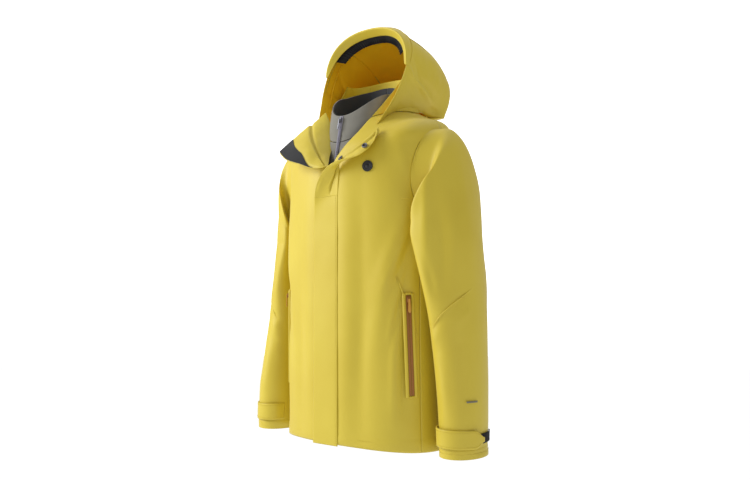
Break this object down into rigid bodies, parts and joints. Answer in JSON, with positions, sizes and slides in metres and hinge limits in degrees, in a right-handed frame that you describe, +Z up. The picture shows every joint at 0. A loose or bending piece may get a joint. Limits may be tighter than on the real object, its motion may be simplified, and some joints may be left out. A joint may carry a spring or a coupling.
{
  "type": "hardshell jacket",
  "caption": "Hooded waterproof outdoor jacket with a storm flap, zipped hand pockets, adjustable cuffs and a zip-in grey liner, hanging as if worn.",
  "frame": {"origin": "middle of the underside of the hanger loop, in the back neck, where a peg carries the jacket", "axes": "+Z up, -Y to the wearer's front, +X to the wearer's left"},
  "size_m": [0.6252, 0.3727, 0.947],
  "materials": {
    "shell": "smooth matt face of a laminated woven shell cloth",
    "facing": "plain inner facing cloth",
    "lapel": "shell cloth with a row of stitching",
    "charcoal": "brushed charcoal tape and chin guard",
    "grip": "black gathered band and hook-and-loop strip",
    "liner": "soft grey mid-layer knit",
    "coil": "lavender-grey zip coil",
    "ochre": "brown water-resistant coated zip",
    "puller": "golden moulded puller",
    "metal": "polished snap and slider metal",
    "rubber": "black moulded badge"
  },
  "bodies": {
    "shell": {"left_front_panel": "shell", "left_chest_yoke": "shell", "left_side_panel": "shell", "right_front_panel": "shell", "right_chest_yoke": "shell", "right_side_panel": "shell", "back_panel": "shell", "back_yoke": "shell", "left_collar": "facing", "back_collar": "facing", "right_collar": "facing", "left_main_zip_tape": "charcoal", "right_main_zip_tape": "charcoal", "left_lapel": "lapel", "right_lapel": "lapel", "chin_guard": "charcoal", "lower_snap_socket": "metal", "upper_snap_socket": "metal", "lower_snap_stud": "metal", "upper_snap_stud": "metal", "left_pocket_zip": "ochre", "left_pocket_bag": "facing", "right_pocket_zip": "ochre", "right_pocket_bag": "facing", "chest_badge": "rubber", "hanger_loop": "charcoal", "liner_left_front": "liner", "liner_left_collar": "liner", "liner_right_front": "liner", "liner_right_collar": "liner", "liner_back": "liner", "liner_left_zip_tape": "coil", "liner_right_zip_tape": "coil"},
    "hood": {"hood_crown": "shell", "hood_left_side": "shell", "hood_right_side": "shell", "hood_neck_panel": "shell", "hood_brim": "shell", "hood_grip_strip": "grip"},
    "left_arm": {"left_sleeve_front": "shell", "left_sleeve_back": "shell"},
    "left_lower_arm": {"left_forearm": "shell", "left_cuff_loop_patch": "grip"},
    "left_tab": {"left_cuff_tab": "shell", "left_cuff_hook_pad": "charcoal"},
    "left_pocket_runner": {"left_pocket_slider": "ochre"},
    "left_pocket_pull": {"left_pocket_puller": "puller"},
    "right_arm": {"right_sleeve_front": "shell", "right_sleeve_back": "shell"},
    "right_lower_arm": {"right_forearm": "shell", "right_cuff_loop_patch": "grip"},
    "right_tab": {"right_cuff_tab": "shell", "right_cuff_hook_pad": "charcoal"},
    "right_pocket_runner": {"right_pocket_slider": "ochre"},
    "right_pocket_pull": {"right_pocket_puller": "puller"},
    "flap": {"storm_flap": "shell"},
    "main_runner": {"main_zip_slider": "metal"},
    "main_pull": {"main_zip_puller": "charcoal"},
    "liner_runner": {"liner_zip_slider": "coil"},
    "liner_pull": {"liner_zip_puller": "metal"}
  },
  "joints": [
    {"name": "hood_fold", "type": "hinge", "parent": "shell", "child": "hood", "pos_m": [0, 0.024, -0.022], "axis": [-1, 0, 0], "range_deg": [0, 50]},
    {"name": "left_shoulder", "type": "hinge", "parent": "shell", "child": "left_arm", "pos_m": [0.191, -0.0739, -0.08], "axis": [0, -1, 0], "range_deg": [0, 16]},
    {"name": "left_elbow", "type": "hinge", "parent": "left_arm", "child": "left_lower_arm", "pos_m": [0.241, -0.16698, -0.49142], "axis": [-1, 0, 0], "range_deg": [0, 70]},
    {"name": "left_tab_peel", "type": "hinge", "parent": "left_lower_arm", "child": "left_tab", "pos_m": [0.2162, -0.1242, -0.719], "axis": [0, 0, -1], "range_deg": [0, 80]},
    {"name": "left_pocket_zip_run", "type": "slide", "parent": "shell", "child": "left_pocket_runner", "axis": [0.0247, 0.0282, -0.9993], "range_m": [0, 0.165]},
    {"name": "left_pocket_pull_swing", "type": "hinge", "parent": "left_pocket_runner", "child": "left_pocket_pull", "pos_m": [0.18053, -0.17106, -0.44046], "axis": [-0.5863, -0.8092, -0.0373], "range_deg": [0, 90]},
    {"name": "right_shoulder", "type": "hinge", "parent": "shell", "child": "right_arm", "pos_m": [-0.191, -0.0739, -0.08], "axis": [0, 1, 0], "range_deg": [0, 16]},
    {"name": "right_elbow", "type": "hinge", "parent": "right_arm", "child": "right_lower_arm", "pos_m": [-0.241, -0.15213, -0.49272], "axis": [-1, 0, 0], "range_deg": [0, 70]},
    {"name": "right_tab_peel", "type": "hinge", "parent": "right_lower_arm", "child": "right_tab", "pos_m": [-0.2162, -0.1418, -0.719], "axis": [0, 0, 1], "range_deg": [0, 80]},
    {"name": "right_pocket_zip_run", "type": "slide", "parent": "shell", "child": "right_pocket_runner", "axis": [-0.0247, 0.0282, -0.9993], "range_m": [0, 0.165]},
    {"name": "right_pocket_pull_swing", "type": "hinge", "parent": "right_pocket_runner", "child": "right_pocket_pull", "pos_m": [-0.18053, -0.17106, -0.44046], "axis": [-0.5863, 0.8092, 0.0373], "range_deg": [0, 90]},
    {"name": "flap_open", "type": "hinge", "parent": "shell", "child": "flap", "pos_m": [0.0356, -0.2351, -0.487], "axis": [0, 0, 1], "range_deg": [0, 110]},
    {"name": "main_zip_run", "type": "slide", "parent": "shell", "child": "main_runner", "axis": [0, 0, -1], "range_m": [0, 0.528]},
    {"name": "main_pull_swing", "type": "hinge", "parent": "main_runner", "child": "main_pull", "pos_m": [0, -0.2308, -0.1978], "axis": [-1, 0, 0], "range_deg": [0, 4]},
    {"name": "liner_zip_run", "type": "slide", "parent": "shell", "child": "liner_runner", "axis": [0, -0.1961, -0.9806], "range_m": [0, 0.12]},
    {"name": "liner_pull_swing", "type": "hinge", "parent": "liner_runner", "child": "liner_pull", "pos_m": [0, -0.18851, -0.04867], "axis": [-1, 0, 0], "range_deg": [0, 100]}
  ]
}
